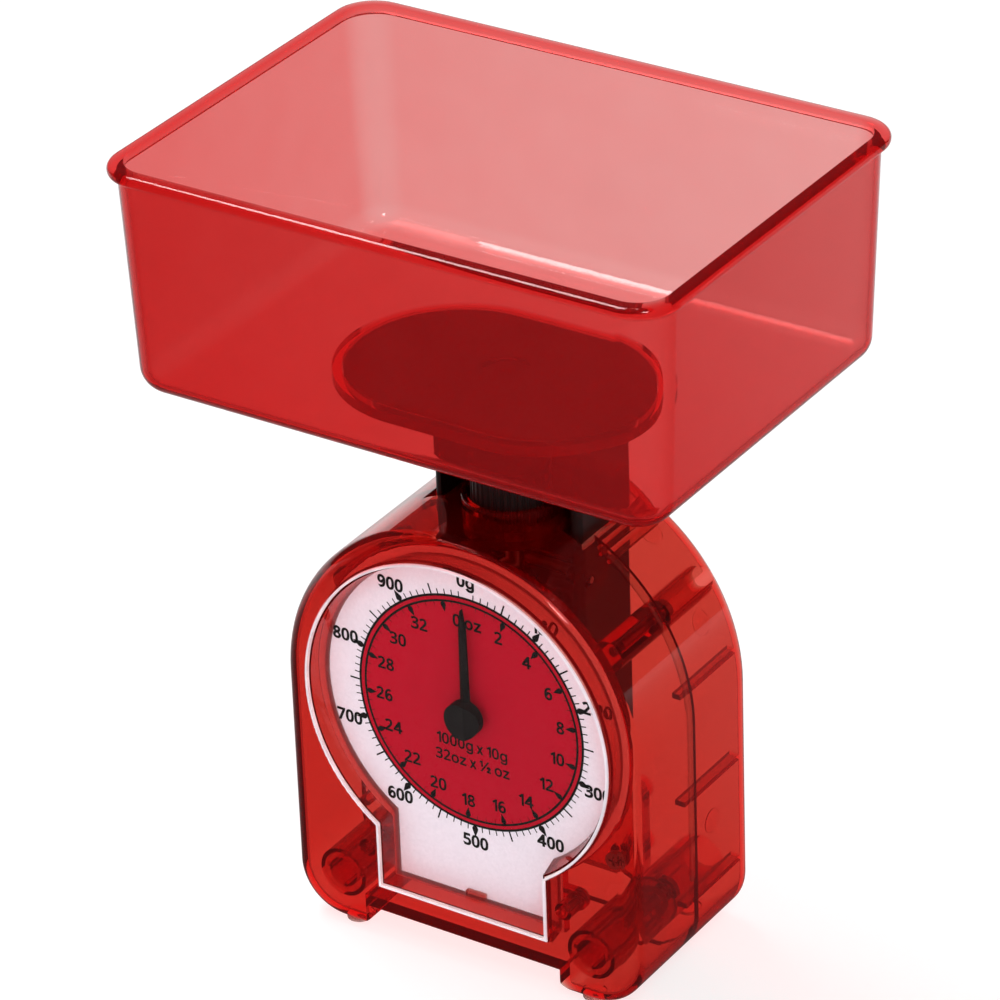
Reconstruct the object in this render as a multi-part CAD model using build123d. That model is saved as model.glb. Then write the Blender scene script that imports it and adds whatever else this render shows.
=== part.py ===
from build123d import *
from math import acos, asin, cos, degrees, pi, radians, sin, sqrt, tan
import os

# A mechanical kitchen scale: a clear red weighing bowl on a sprung platform, over a clear red case
# with a round dial. X runs to the right of someone reading the dial, Y runs away from them, Z is up.
# The origin is on the table, under the centre of the bowl. Millimetres.

# Bowl
RIM_LENGTH, RIM_WIDTH, RIM_CORNER = 170.0, 124.0, 11.7
RIM_DEPTH, RIM_ROUND = 3.4, 1.6
BOWL_TOP_Z = 234.5
BOWL_FLOOR_Z = 169.0
BOWL_FOOT_LENGTH, BOWL_FOOT_WIDTH, BOWL_FOOT_CORNER = 160.6, 117.2, 10.0
BOWL_HEAD_LENGTH, BOWL_HEAD_WIDTH, BOWL_HEAD_CORNER = 166.2, 120.2, 11.0
BOWL_WALL = 2.0
BOWL_BOTTOM_FILLET = 7.0
RING_DEPTH, RING_BAND, RING_PLAY = 3.0, 2.6, 0.4
GATE_R, GATE_HEIGHT = 3.4, 0.5

# Platform, which the bowl sits on
PLATE_LENGTH, PLATE_WIDTH, PLATE_THICK, PLATE_Y = 88.0, 60.0, 4.0, -2.0
PLATE_TOP_Z = BOWL_FLOOR_Z - 0.3
PLATE_BOTTOM_Z = PLATE_TOP_Z - PLATE_THICK
DISH_R, DISH_DEPTH = 7.8, 1.5

# Case, in two halves that meet at the seam
CASE_R, CASE_Z = 55.25, 77.2
CASE_FRONT_Y, SEAM_Y, CASE_BACK_Y = -31.5, 0.9, 27.9
CASE_WALL = 2.2
CASE_FRONT_FILLET, CASE_BACK_FILLET = 5.0, 3.0
LOBE_R, LOBE_Z = 15.1, 16.2
LOBE_X = CASE_R - LOBE_R
NOTCH_X, NOTCH_Z, NOTCH_FLARE = 31.0, 9.2, 4.5
FOOT_X, FOOT_R, FOOT_TOP_Z = 38.5, 3.5, 3.2
FRONT_FOOT_Y, BACK_FOOT_Y = -25.5, 22.0
TONGUE_DEPTH, TONGUE_THICK, TONGUE_PLAY = 2.0, 1.0, 0.1

# Window and dial
DIAL_Z = 76.4
WINDOW_R, WINDOW_LEG_X, WINDOW_BOTTOM_Z = 47.2, 26.2, 17.8
CARD_Y, CARD_THICK = -23.1, 0.4
RECESS_R, RECESS_LEG_X, RECESS_BOTTOM_Z = 45.5, 25.0, 18.2
RECESS_WALL = 2.0
LENS_FRONT_Y, LENS_BACK_Y, LENS_LAP, LENS_PLAY = -31.9, -30.1, 1.0, 0.2
CARD_R, CARD_LEG_X, CARD_BOTTOM_Z = 49.5, 27.5, 15.8
PLATE_FRONT_Y = CARD_Y + CARD_THICK
PLATE_BACK_Y = PLATE_FRONT_Y + 2.0
BACKING_R, EAR_X, EAR_Z, EAR_R, EAR_POST_R = 50.0, 31.6, 27.0, 3.2, 2.6

# Bosses that hold the case halves together
LOW_BOSS_R, LOW_BORE_R = 7.4, 4.5
HIGH_BOSS_X, HIGH_BOSS_Z, HIGH_BOSS_R, HIGH_BORE_R = 41.0, 104.0, 4.5, 3.2
HIGH_BOSS_FRONT_Y = -19.5
CASE_SCREW_R, CASE_PILOT_R, CASE_CLEAR_R, CASE_HEAD_R = 1.45, 1.5, 1.8, 2.8
HEAD_SEAT_Y = 6.4

# Top of the case: the collar round the zero knob, and the slot that the column goes through
COLLAR_R, COLLAR_WALL = 12.0, 1.5
COLLAR_BOTTOM_Z, COLLAR_FLOOR_Z, COLLAR_TOP_Z, COLLAR_HOLE_R = 122.0, 124.0, 133.5, 3.0
SLOT_IN_X, SLOT_OUT_X, SLOT_FRONT_Y, SLOT_BACK_Y, BRIDGE_BACK_Y = 17.5, 25.0, -5.3, 24.0, 17.5

# Column under the platform
COLUMN_IN_X, COLUMN_OUT_X = 20.5, 23.0
COLUMN_FRONT_Y, COLUMN_WEB_Y, COLUMN_BACK_Y = -3.0, 19.5, 22.0
COLUMN_BOTTOM_Z = 58.0
COLUMN_ROUND = 2.0

# Weighing travel, spring and links
TRAVEL = 14.14
PINION_MODULE, PINION_TEETH, PRESSURE_ANGLE = 0.5, 9, radians(25.0)
PITCH_R = PINION_MODULE * PINION_TEETH / 2
ADDENDUM, DEDENDUM, BACKLASH = 0.8 * PINION_MODULE, 1.0 * PINION_MODULE, 0.06
SHAFT_R, BEARING_R = 0.8, 0.85
LINK_LENGTH, PIVOT_Y, HIGH_PIVOT_Z, LOW_PIVOT_Z = 14.0, 14.0, 104.0, 58.0
LINK_RISE = TRAVEL / 2
LINK_REACH = sqrt(LINK_LENGTH ** 2 - LINK_RISE ** 2)
ARM_IN_X, ARM_OUT_X, ARM_R = 16.5, 18.5, 2.5
ROD_R, ROD_BORE_R, PIN_R = 1.5, 1.55, 1.0
FRAME_FRONT_Y, FRAME_BACK_Y, FRAME_RIB_BACK_Y, FRAME_X, FRAME_TOP_Z = 13.0, 16.0, 18.5, 12.0, 118.0
FRAME_FOOT_X, FRAME_FOOT_BOTTOM_Z, FRAME_FOOT_TOP_Z = 30.0, 12.0, 40.0
POST_X, POST_ZS, POST_R = 22.0, (17.0, 34.0), 3.5
YOKE_BOTTOM_Z, YOKE_TOP_Z, YOKE_FRONT_Y, YOKE_BACK_Y = 70.0, 75.0, -7.0, 3.5
RACK_BACK_X, RACK_FRONT_Y, RACK_BACK_Y, RACK_BOTTOM_Z, RACK_TOP_Z = 7.5, -17.3, -13.7, 60.0, 96.5
ARM_BLOCK_TOP_Z = 66.0
SPRING_R, WIRE_R, SPRING_TURNS = 5.4, 0.6, 14
SPRING_BOTTOM_Z, SPRING_TOP_Z, PLUG_R = 75.8, 107.4, 4.7

KNOB_R, KNOB_TOP_Z, KNOB_BOTTOM_Z, GROOVES, GROOVE_R = 11.0, 143.0, 126.0, 36, 0.55
ANCHOR_R, ANCHOR_TOP_Z = 2.5, 138.5


def block(x0, x1, y0, y1, z0, z1):
    """Box between two corners."""
    return Pos((x0 + x1) / 2, (y0 + y1) / 2, (z0 + z1) / 2) * Box(x1 - x0, y1 - y0, z1 - z0)


def slab(outline, y_front, y_back):
    """Front-view outline, in X and Z, made solid between two depths."""
    return extrude(Plane.XZ.offset(-y_back) * outline, y_back - y_front)


def along_x(y, z, radius, x0, x1):
    return Pos((x0 + x1) / 2, y, z) * Rot(0, 90, 0) * Cylinder(radius, x1 - x0)


def along_y(x, z, radius, y0, y1):
    return Pos(x, (y0 + y1) / 2, z) * Rot(90, 0, 0) * Cylinder(radius, y1 - y0)


def along_z(x, y, radius, z0, z1):
    return Pos(x, y, (z0 + z1) / 2) * Cylinder(radius, z1 - z0)


def both_sides(make):
    """What make(side) gives, for the left side (-1) and the right side (+1)."""
    return [make(side) for side in (-1, 1)]


# Bowl and platform


def bowl_section(z, inset):
    """Rounded rectangle of the bowl's wall at a height, moved inwards by inset."""
    share = (z - BOWL_FLOOR_Z) / (BOWL_TOP_Z - BOWL_FLOOR_Z)
    length = BOWL_FOOT_LENGTH + share * (BOWL_HEAD_LENGTH - BOWL_FOOT_LENGTH) - 2 * inset
    width = BOWL_FOOT_WIDTH + share * (BOWL_HEAD_WIDTH - BOWL_FOOT_WIDTH) - 2 * inset
    corner = BOWL_FOOT_CORNER + share * (BOWL_HEAD_CORNER - BOWL_FOOT_CORNER) - inset
    return Pos(0, 0, z) * RectangleRounded(length, width, corner)


def tub(z_bottom, z_top, inset, bottom_fillet):
    """Solid tapered block with a rounded bottom edge."""
    solid = loft([bowl_section(z_bottom, inset), bowl_section(z_top, inset)])
    return fillet(solid.edges().group_by(Axis.Z)[0], bottom_fillet)


def make_bowl():
    """Thin tub with a beaded rim, and a stadium ring underneath that drops over the platform."""
    outside = tub(BOWL_FLOOR_Z, BOWL_TOP_Z - 0.5, 0, BOWL_BOTTOM_FILLET)
    inside = tub(BOWL_FLOOR_Z + BOWL_WALL, BOWL_TOP_Z + 1, BOWL_WALL, BOWL_BOTTOM_FILLET - BOWL_WALL)
    rim = Pos(0, 0, BOWL_TOP_Z - RIM_DEPTH) * RectangleRounded(RIM_LENGTH, RIM_WIDTH, RIM_CORNER)
    rim = extrude(rim, RIM_DEPTH)
    rim = fillet(rim.edges().group_by(Axis.Z)[0] + rim.edges().group_by(Axis.Z)[-1], RIM_ROUND)
    ring_length = PLATE_LENGTH + 2 * RING_PLAY
    ring_width = PLATE_WIDTH + 2 * RING_PLAY
    ring = SlotOverall(ring_length + 2 * RING_BAND, ring_width + 2 * RING_BAND)
    ring -= SlotOverall(ring_length, ring_width)
    ring = extrude(Pos(0, PLATE_Y, BOWL_FLOOR_Z - RING_DEPTH) * ring, RING_DEPTH + 0.5)
    gate = along_z(0, 0, GATE_R, BOWL_FLOOR_Z + BOWL_WALL / 2, BOWL_FLOOR_Z + BOWL_WALL + GATE_HEIGHT)
    return (outside + rim - inside) + ring + gate


PLATE_SCREW_X, PLATE_SCREW_YS, LUG_IN_X, LUG_THICK = 16.5, (1.0, 13.0), 12.0, 4.0


def plate_screw_places():
    return [(side * PLATE_SCREW_X, y) for side in (-1, 1) for y in PLATE_SCREW_YS]


def make_platform_plate():
    """Stadium tray with a small dish in the middle, screwed to the column from below."""
    plate = extrude(Pos(0, PLATE_Y, PLATE_BOTTOM_Z) * SlotOverall(PLATE_LENGTH, PLATE_WIDTH), PLATE_THICK)
    plate = fillet(plate.edges().group_by(Axis.Z)[-1], 0.8)
    plate -= along_z(0, 0, DISH_R, PLATE_TOP_Z - DISH_DEPTH, PLATE_TOP_Z + 1)
    for x, y in plate_screw_places():
        plate -= along_z(x, y, 1.3, PLATE_BOTTOM_Z - 1, PLATE_BOTTOM_Z + 2.5)
    return plate


PIN_MID_Y = PIVOT_Y - (LINK_REACH + LINK_LENGTH) / 2
PIN_SLOT_LENGTH, PIN_SLOT_HEIGHT = 4.5, 2.6


def make_platform_column():
    """Channel that carries the platform down into the case, open towards the dial."""
    column = block(-COLUMN_OUT_X, COLUMN_OUT_X, COLUMN_FRONT_Y, COLUMN_BACK_Y, COLUMN_BOTTOM_Z, PLATE_BOTTOM_Z)
    column = fillet(column.edges().filter_by(Axis.Z), COLUMN_ROUND)
    column -= block(-COLUMN_IN_X, COLUMN_IN_X, COLUMN_FRONT_Y - 1, COLUMN_WEB_Y, 0, BOWL_TOP_Z)
    lug_bottom_z = PLATE_BOTTOM_Z - LUG_THICK
    for side in (-1, 1):
        edges = sorted((side * LUG_IN_X, side * (COLUMN_IN_X + 0.5)))
        column += block(*edges, COLUMN_FRONT_Y + 1, COLUMN_WEB_Y + 0.5, lug_bottom_z, PLATE_BOTTOM_Z)
    for x, y in plate_screw_places():
        column -= along_z(x, y, 1.6, lug_bottom_z - 1, PLATE_BOTTOM_Z + 1)
    for pivot_z in (HIGH_PIVOT_Z, LOW_PIVOT_Z):
        slot = Plane.YZ * Pos(PIN_MID_Y, pivot_z + LINK_RISE) * SlotOverall(PIN_SLOT_LENGTH, PIN_SLOT_HEIGHT)
        column -= extrude(slot, COLUMN_OUT_X + 1, both=True)
    for x in (-COLUMN_OUT_X, COLUMN_OUT_X):
        column -= along_x(YOKE_SCREW_Y, YOKE_SCREW_Z, 1.4, x - 3, x + 3)
    return column


YOKE_SCREW_Y, YOKE_SCREW_Z = 0.3, (YOKE_BOTTOM_Z + YOKE_TOP_Z) / 2
RACK_SCREW_X, RACK_SCREW_Z = 5.4, 63.0
RACK_SEAT_X = 3.0


def make_spring_yoke():
    """Bar across the column. It holds the spring's lower end and an arm that reaches to the rack."""
    yoke = block(-COLUMN_IN_X, COLUMN_IN_X, YOKE_FRONT_Y, YOKE_BACK_Y, YOKE_BOTTOM_Z, YOKE_TOP_Z)
    yoke += along_z(0, 0, 6.5, YOKE_BOTTOM_Z, YOKE_TOP_Z)
    yoke += along_z(0, 0, PLUG_R, YOKE_TOP_Z - 1, YOKE_TOP_Z + 6)
    yoke += block(RACK_SEAT_X, 8, YOKE_FRONT_Y, -3, RACK_BOTTOM_Z, YOKE_BOTTOM_Z + 1)
    yoke += block(RACK_SEAT_X, 8, RACK_BACK_Y, YOKE_FRONT_Y + 1, RACK_BOTTOM_Z, ARM_BLOCK_TOP_Z)
    yoke -= along_y(RACK_SCREW_X, RACK_SCREW_Z, 0.85, RACK_BACK_Y - 1, -8)
    for x0, x1 in ((-COLUMN_IN_X - 1, -15), (15, COLUMN_IN_X + 1)):
        yoke -= along_x(YOKE_SCREW_Y, YOKE_SCREW_Z, 1.25, x0, x1)
    return yoke


# Rack and pinion


def make_rack():
    """Straight rack on the right of the pinion: as it goes down, the pointer turns clockwise."""
    pitch = pi * PINION_MODULE
    half = pitch / 4 - BACKLASH / 2
    tip, root = half - ADDENDUM * tan(PRESSURE_ANGLE), half + DEDENDUM * tan(PRESSURE_ANGLE)
    tip_x, root_x = PITCH_R - ADDENDUM, PITCH_R + DEDENDUM
    rack = block(root_x, RACK_BACK_X, RACK_FRONT_Y, RACK_BACK_Y, RACK_BOTTOM_Z, RACK_TOP_Z)
    rack -= block(root_x - 1, RACK_SEAT_X, RACK_FRONT_Y - 1, RACK_BACK_Y + 1, RACK_BOTTOM_Z - 1, 70.5)
    for tooth in range(-3, 13):
        z = DIAL_Z + tooth * pitch
        corners = [(root_x + 0.2, z - root), (root_x, z - root), (tip_x, z - tip)]
        corners += [(tip_x, z + tip), (root_x, z + root), (root_x + 0.2, z + root)]
        rack += slab(make_face(Polyline(*corners, close=True)), RACK_FRONT_Y, RACK_BACK_Y)
    return rack - along_y(RACK_SCREW_X, RACK_SCREW_Z, 0.9, RACK_FRONT_Y - 1, RACK_BACK_Y + 1)


def make_rack_screw():
    head = along_y(RACK_SCREW_X, RACK_SCREW_Z, 1.8, RACK_FRONT_Y - 1.4, RACK_FRONT_Y)
    return head + along_y(RACK_SCREW_X, RACK_SCREW_Z, 0.8, RACK_FRONT_Y - 0.5, -8.5)


def tooth_outline(root_r, tip_r):
    """One involute tooth that points along +X, in the pinion's own plane."""
    base_r = PITCH_R * cos(PRESSURE_ANGLE)
    half = pi / (2 * PINION_TEETH) - BACKLASH / (2 * PITCH_R)

    def edge(radius, side):
        pressure = acos(min(1, base_r / radius))
        angle = half + (tan(PRESSURE_ANGLE) - PRESSURE_ANGLE) - (tan(pressure) - pressure)
        return (radius * cos(angle), side * radius * sin(angle))

    radii = [base_r + share * (tip_r - base_r) for share in (0, 0.3, 0.65, 1)]
    foot_x, foot_y = edge(base_r, 1)
    foot = (foot_x * root_r / base_r * 0.9, foot_y * root_r / base_r * 0.9)
    upper = Spline(*[edge(radius, 1) for radius in radii])
    lower = Spline(*[edge(radius, -1) for radius in radii])
    tip = ThreePointArc(edge(tip_r, 1), (tip_r, 0), edge(tip_r, -1))
    sides = Polyline(edge(base_r, 1), foot, (foot[0], -foot[1]), edge(base_r, -1))
    return make_face([upper, tip, lower, sides])


PINION_FRONT_Y, PINION_BACK_Y = -17.5, -13.5
SHAFT_FRONT_Y, SHAFT_BACK_Y = -28.0, -9.0


def make_pinion_shaft():
    """Thin shaft with a nine-tooth pinion. A gap faces the rack, where a rack tooth stands at rest."""
    root_r, tip_r = PITCH_R - DEDENDUM, PITCH_R + ADDENDUM
    outline = Circle(root_r)
    for tooth in range(PINION_TEETH):
        outline += Rot(0, 0, 180 + tooth * 360 / PINION_TEETH) * tooth_outline(root_r, tip_r)
    pinion = slab(Pos(0, DIAL_Z) * outline, PINION_FRONT_Y, PINION_BACK_Y)
    return pinion + along_y(0, DIAL_Z, SHAFT_R, SHAFT_FRONT_Y, SHAFT_BACK_Y)


NEEDLE_LENGTH, NEEDLE_HALF, HUB_R = 33.5, 1.45, 5.3
NEEDLE_BACK_Y, HUB_FRONT_Y, HUB_CREST_X = -25.0, -29.0, 1.5


def make_pointer():
    """Black pointer: a ridged needle on a round hub whose front has a crest off its centre."""
    roof = [(-1.6, NEEDLE_BACK_Y), (1.6, NEEDLE_BACK_Y), (1.6, NEEDLE_BACK_Y - 0.6)]
    roof += [(0, NEEDLE_BACK_Y - 1.5), (-1.6, NEEDLE_BACK_Y - 0.6)]
    ridge = extrude(Pos(0, 0, DIAL_Z) * make_face(Polyline(*roof, close=True)), NEEDLE_LENGTH + 1)
    tip = (0, DIAL_Z + NEEDLE_LENGTH)
    blade = [(-NEEDLE_HALF, DIAL_Z), (NEEDLE_HALF, DIAL_Z), (1.0, DIAL_Z + 27), tip, (-1.0, DIAL_Z + 27)]
    needle = slab(make_face(Polyline(*blade, close=True)), NEEDLE_BACK_Y - 3, NEEDLE_BACK_Y) & ridge
    facets = [(-6, NEEDLE_BACK_Y), (6, NEEDLE_BACK_Y), (6, NEEDLE_BACK_Y - 1.9)]
    facets += [(HUB_CREST_X, HUB_FRONT_Y), (-6, HUB_FRONT_Y + 0.9)]
    cap = extrude(Pos(0, 0, DIAL_Z - 7) * make_face(Polyline(*facets, close=True)), 14)
    hub = along_y(0, DIAL_Z, HUB_R, HUB_FRONT_Y - 1, NEEDLE_BACK_Y) & cap
    hub += along_y(0, DIAL_Z, 2.8, NEEDLE_BACK_Y - 0.5, CARD_Y - 0.4)
    return hub + needle - along_y(0, DIAL_Z, SHAFT_R, SHAFT_FRONT_Y, CARD_Y + 1)


# Case


def case_outline(inset):
    """Front view of the case: an arch on straight sides, with a large round in each lower corner."""
    half, bottom_z = CASE_R - inset, LOBE_Z - LOBE_R + inset
    box = Pos(0, (CASE_Z + bottom_z) / 2) * Rectangle(2 * half, CASE_Z - bottom_z)
    box = fillet(box.vertices().group_by(Axis.Y)[0], LOBE_R - inset)
    return box + Pos(0, CASE_Z) * Circle(half)


def case_block(inset):
    """Whole case as one rounded block, with the notch between its lower corners."""
    front_y, back_y = CASE_FRONT_Y + inset, CASE_BACK_Y - inset
    case = slab(case_outline(inset), front_y, back_y)
    case = fillet(case.edges().group_by(Axis.Y)[0], CASE_FRONT_FILLET - inset)
    case = fillet(case.edges().group_by(Axis.Y)[-1], CASE_BACK_FILLET - inset)
    notch_x, notch_z = NOTCH_X + inset, NOTCH_Z + inset
    corners = [(-notch_x - NOTCH_FLARE, 0), (-notch_x, NOTCH_FLARE), (-notch_x, notch_z)]
    corners += [(notch_x, notch_z), (notch_x, NOTCH_FLARE), (notch_x + NOTCH_FLARE, 0)]
    return case - slab(make_face(Polyline(*corners, close=True)), CASE_FRONT_Y - 1, CASE_BACK_Y + 1)


def case_skin():
    return case_block(0) - case_block(CASE_WALL)


def before(y):
    """Everything in front of a depth."""
    return block(-200, 200, -200, y, -50, 300)


def keyhole(grow):
    """Window outline: a circle on top of a short straight leg."""
    bottom_z = WINDOW_BOTTOM_Z - grow
    leg = Pos(0, (DIAL_Z + bottom_z) / 2) * Rectangle(2 * (WINDOW_LEG_X + grow), DIAL_Z - bottom_z)
    return leg + Pos(0, DIAL_Z) * Circle(WINDOW_R + grow)


def recess(grow):
    """Space between the window and the dial card, which narrows slightly towards the card."""

    def plane_at(y):
        return Plane.XZ.offset(-y)

    def leg(half_x, bottom_z):
        height = DIAL_Z - bottom_z
        return Pos(0, DIAL_Z - height / 2) * Rectangle(2 * half_x, height)

    front, back = plane_at(CASE_FRONT_Y), plane_at(CARD_Y)
    rounds = [front * Pos(0, DIAL_Z) * Circle(WINDOW_R + grow), back * Pos(0, DIAL_Z) * Circle(RECESS_R + grow)]
    legs = [front * leg(WINDOW_LEG_X + grow, WINDOW_BOTTOM_Z - grow)]
    legs += [back * leg(RECESS_LEG_X + grow, RECESS_BOTTOM_Z - grow)]
    return loft(rounds) + loft(legs)


def tongue_band(play):
    """Thin lip round the sides and shoulders of the seam, on the inner half of the wall."""
    outer, inner = CASE_WALL - TONGUE_THICK - play, CASE_WALL + 0.01
    band = case_outline(outer) - case_outline(inner)
    low_z = 28.0 - play
    window = Pos(0, low_z + 100) * Rectangle(200, 200)
    band = slab(band & window, SEAM_Y - TONGUE_DEPTH - play, SEAM_Y)
    return band - block(-SLOT_OUT_X - 2 + play, SLOT_OUT_X + 2 - play, -10, 10, 100, 200)


def feet(y):
    return both_sides(lambda side: along_z(side * FOOT_X, y, FOOT_R, 0, FOOT_TOP_Z))


def boss_places():
    """Screw places as (x, z, boss radius, bore radius)."""
    low = both_sides(lambda side: (side * LOBE_X, LOBE_Z, LOW_BOSS_R, LOW_BORE_R))
    high = both_sides(lambda side: (side * HIGH_BOSS_X, HIGH_BOSS_Z, HIGH_BOSS_R, HIGH_BORE_R))
    return low + high


def make_front_shell():
    """Front half of the case, with the dial's recess, the screw bosses and the collar for the knob."""
    shell = case_skin() & before(SEAM_Y)
    bridge = case_skin() & block(-SLOT_IN_X, SLOT_IN_X, SEAM_Y - 1, BRIDGE_BACK_Y, 110, 140)
    shell += bridge
    shell -= tongue_band(TONGUE_PLAY)
    shell += recess(RECESS_WALL)
    shell -= recess(0)
    shell -= slab(keyhole(LENS_LAP + LENS_PLAY), CASE_FRONT_Y - 1, LENS_BACK_Y)
    for side in (-1, 1):
        slot_x = sorted((side * SLOT_IN_X, side * SLOT_OUT_X))
        shell -= block(*slot_x, SLOT_FRONT_Y, SEAM_Y + 1, 100, 140)
        low = along_y(side * LOBE_X, LOBE_Z, LOW_BOSS_R, CASE_FRONT_Y + 1, SEAM_Y)
        low -= along_y(side * LOBE_X, LOBE_Z, LOW_BOSS_R - 1.2, CASE_FRONT_Y + CASE_WALL, SEAM_Y)
        low += along_y(side * LOBE_X, LOBE_Z, LOW_BORE_R, CASE_FRONT_Y + 1, SEAM_Y)
        low += block(side * LOBE_X - 7, side * LOBE_X + 7, -28, -6, LOBE_Z - 0.6, LOBE_Z + 0.6)
        low += block(side * LOBE_X - 0.6, side * LOBE_X + 0.6, -28, -6, LOBE_Z - 7, LOBE_Z + 7)
        shell += low
        shell += along_y(side * HIGH_BOSS_X, HIGH_BOSS_Z, HIGH_BOSS_R, HIGH_BOSS_FRONT_Y, SEAM_Y)
        shell += along_y(side * EAR_X, EAR_Z, EAR_POST_R, CASE_FRONT_Y + 1, PLATE_FRONT_Y)
        shell -= along_y(side * EAR_X, EAR_Z, 1.1, -28, PLATE_FRONT_Y + 1)
    for x, z, _, _ in boss_places():
        shell -= along_y(x, z, CASE_PILOT_R, -16, SEAM_Y + 1)
    cup = along_z(0, 0, COLLAR_R + COLLAR_WALL, COLLAR_BOTTOM_Z, COLLAR_TOP_Z)
    cup = fillet(cup.edges().group_by(Axis.Z)[-1], 0.6)
    shell += cup
    shell -= along_z(0, 0, COLLAR_R, COLLAR_FLOOR_Z, COLLAR_TOP_Z + 10)
    shell -= along_z(0, 0, COLLAR_HOLE_R, COLLAR_BOTTOM_Z - 1, COLLAR_FLOOR_Z + 1)
    shell += block(-3, 3, CARD_Y - 1.5, CARD_Y - 0.1, WINDOW_BOTTOM_Z - 1, WINDOW_BOTTOM_Z + 2)
    for foot in feet(FRONT_FOOT_Y):
        shell += foot
    return shell


RIB_ZS, RIB_THICK, RIB_IN_X, RIB_FRONT_Y, RIB_PLAY = (20.5, 52.9, 86.1), 1.6, 49.8, -2.6, 0.2
MARK_R, MARK_HEIGHT = 3.5, 0.3
# Ejector marks on each shoulder and side, as (angle up from level, depth) on the arch, and (height, depth).
ARCH_MARKS = ((53.5, 18.4), (24.0, 15.1))
SIDE_MARK = (40.5, 11.0)
LIP_XS, LIP_THICK = (26.0, 28.6), 1.1


def side_rib(side, z):
    """Stiffening rib on a side wall. Its nose runs just past the seam, clear of the front half."""
    depth = sorted((side * RIB_IN_X, side * CASE_R))
    rib = block(*depth, RIB_FRONT_Y, CASE_BACK_Y - 1, z - RIB_THICK / 2, z + RIB_THICK / 2)
    nose_room = slab(case_outline(CASE_WALL + RIB_PLAY), RIB_FRONT_Y, SEAM_Y)
    wall_room = slab(case_outline(CASE_WALL / 2), SEAM_Y, CASE_BACK_Y)
    return rib & (nose_room + wall_room)


def slot_lip(side, x):
    """Thin rib that hangs under the arch beside the column's slot."""
    edges = sorted((side * x, side * (x + LIP_THICK)))
    inner_r = CASE_R - CASE_WALL
    top_z = CASE_Z + sqrt(inner_r ** 2 - x ** 2) + 0.5
    return block(*edges, SEAM_Y, SLOT_BACK_Y + 1, top_z - 4, top_z)


def ejector_marks(side):
    """Shallow round pads that the mould's ejector pins leave on the inner wall."""
    reach = CASE_R - CASE_WALL - MARK_HEIGHT
    pad = Rot(0, 90, 0) * Cylinder(MARK_R, MARK_HEIGHT + 0.6, align=(Align.CENTER, Align.CENTER, Align.MIN))
    marks = []
    for angle, y in ARCH_MARKS:
        turn = -angle if side > 0 else angle - 180
        marks.append(Pos(0, y, CASE_Z) * Rot(0, turn, 0) * Pos(reach, 0, 0) * pad)
    height, y = SIDE_MARK
    marks.append(Pos(0, y, height) * Rot(0, 0 if side > 0 else 180, 0) * Pos(reach, 0, 0) * pad)
    return marks


def make_rear_shell():
    """Back half of the case, with the seam's tongue, ribs, screw bosses and posts for the frame."""
    shell = case_skin() - before(SEAM_Y)
    shell -= block(-SLOT_OUT_X, SLOT_OUT_X, SEAM_Y - 1, SLOT_BACK_Y, 100, 140)
    tongue = tongue_band(0)
    for x, z, boss_r, _ in boss_places():
        tongue -= along_y(x, z, boss_r + 0.3, -30, SEAM_Y)
    shell += tongue
    for side in (-1, 1):
        for z in RIB_ZS:
            shell += side_rib(side, z)
        for x in LIP_XS:
            shell += slot_lip(side, x)
        for mark in ejector_marks(side):
            shell += mark
        for z in POST_ZS:
            shell += along_y(side * POST_X, z, POST_R, FRAME_BACK_Y, CASE_BACK_Y - 1)
            shell -= along_y(side * POST_X, z, 1.35, FRAME_BACK_Y - 1, CASE_BACK_Y - 3)
    for x, z, boss_r, bore_r in boss_places():
        shell += along_y(x, z, boss_r, SEAM_Y, CASE_BACK_Y - 1)
        shell -= along_y(x, z, bore_r, HEAD_SEAT_Y, CASE_BACK_Y + 1)
        shell -= along_y(x, z, CASE_CLEAR_R, SEAM_Y - 1, HEAD_SEAT_Y + 1)
    for foot in feet(BACK_FOOT_Y):
        shell += foot
    return shell


def make_window_lens():
    lens = slab(keyhole(LENS_LAP), LENS_FRONT_Y, LENS_BACK_Y)
    return fillet(lens.edges().group_by(Axis.Y)[0], 0.5)


# Dial


def make_dial_card():
    """Printed card: white, with a red disc in the middle."""
    leg = Pos(0, (DIAL_Z + CARD_BOTTOM_Z) / 2) * Rectangle(2 * CARD_LEG_X, DIAL_Z - CARD_BOTTOM_Z)
    outline = leg + Pos(0, DIAL_Z) * Circle(CARD_R) - Pos(0, DIAL_Z) * Circle(2.6)
    return slab(outline, CARD_Y, CARD_Y + CARD_THICK)


BRIDGE_SCREW_XS = (-12.0, 13.0)
BRIDGE_FRONT_Y, BRIDGE_Y = -11.5, -9.5


def make_dial_plate():
    """Backing plate behind the card, with two ears for its screws and two posts for the gear bridge."""
    bottom_z = CARD_BOTTOM_Z - 0.5
    leg = Pos(0, (DIAL_Z + bottom_z) / 2) * Rectangle(2 * CARD_LEG_X + 1, DIAL_Z - bottom_z)
    outline = leg + Pos(0, DIAL_Z) * Circle(BACKING_R) + Pos(0, EAR_Z) * SlotOverall(2 * (EAR_X + EAR_R), 2 * EAR_R)
    plate = slab(outline, PLATE_FRONT_Y, PLATE_BACK_Y)
    for x in BRIDGE_SCREW_XS:
        plate += along_y(x, DIAL_Z, 2.8, PLATE_BACK_Y - 0.5, BRIDGE_FRONT_Y)
        plate -= along_y(x, DIAL_Z, 1.1, -18, BRIDGE_FRONT_Y + 1)
    for side in (-1, 1):
        plate -= along_y(side * EAR_X, EAR_Z, 1.3, PLATE_FRONT_Y - 1, PLATE_BACK_Y + 1)
    return plate - along_y(0, DIAL_Z, 2.5, PLATE_FRONT_Y - 1, PLATE_BACK_Y + 1)


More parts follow.
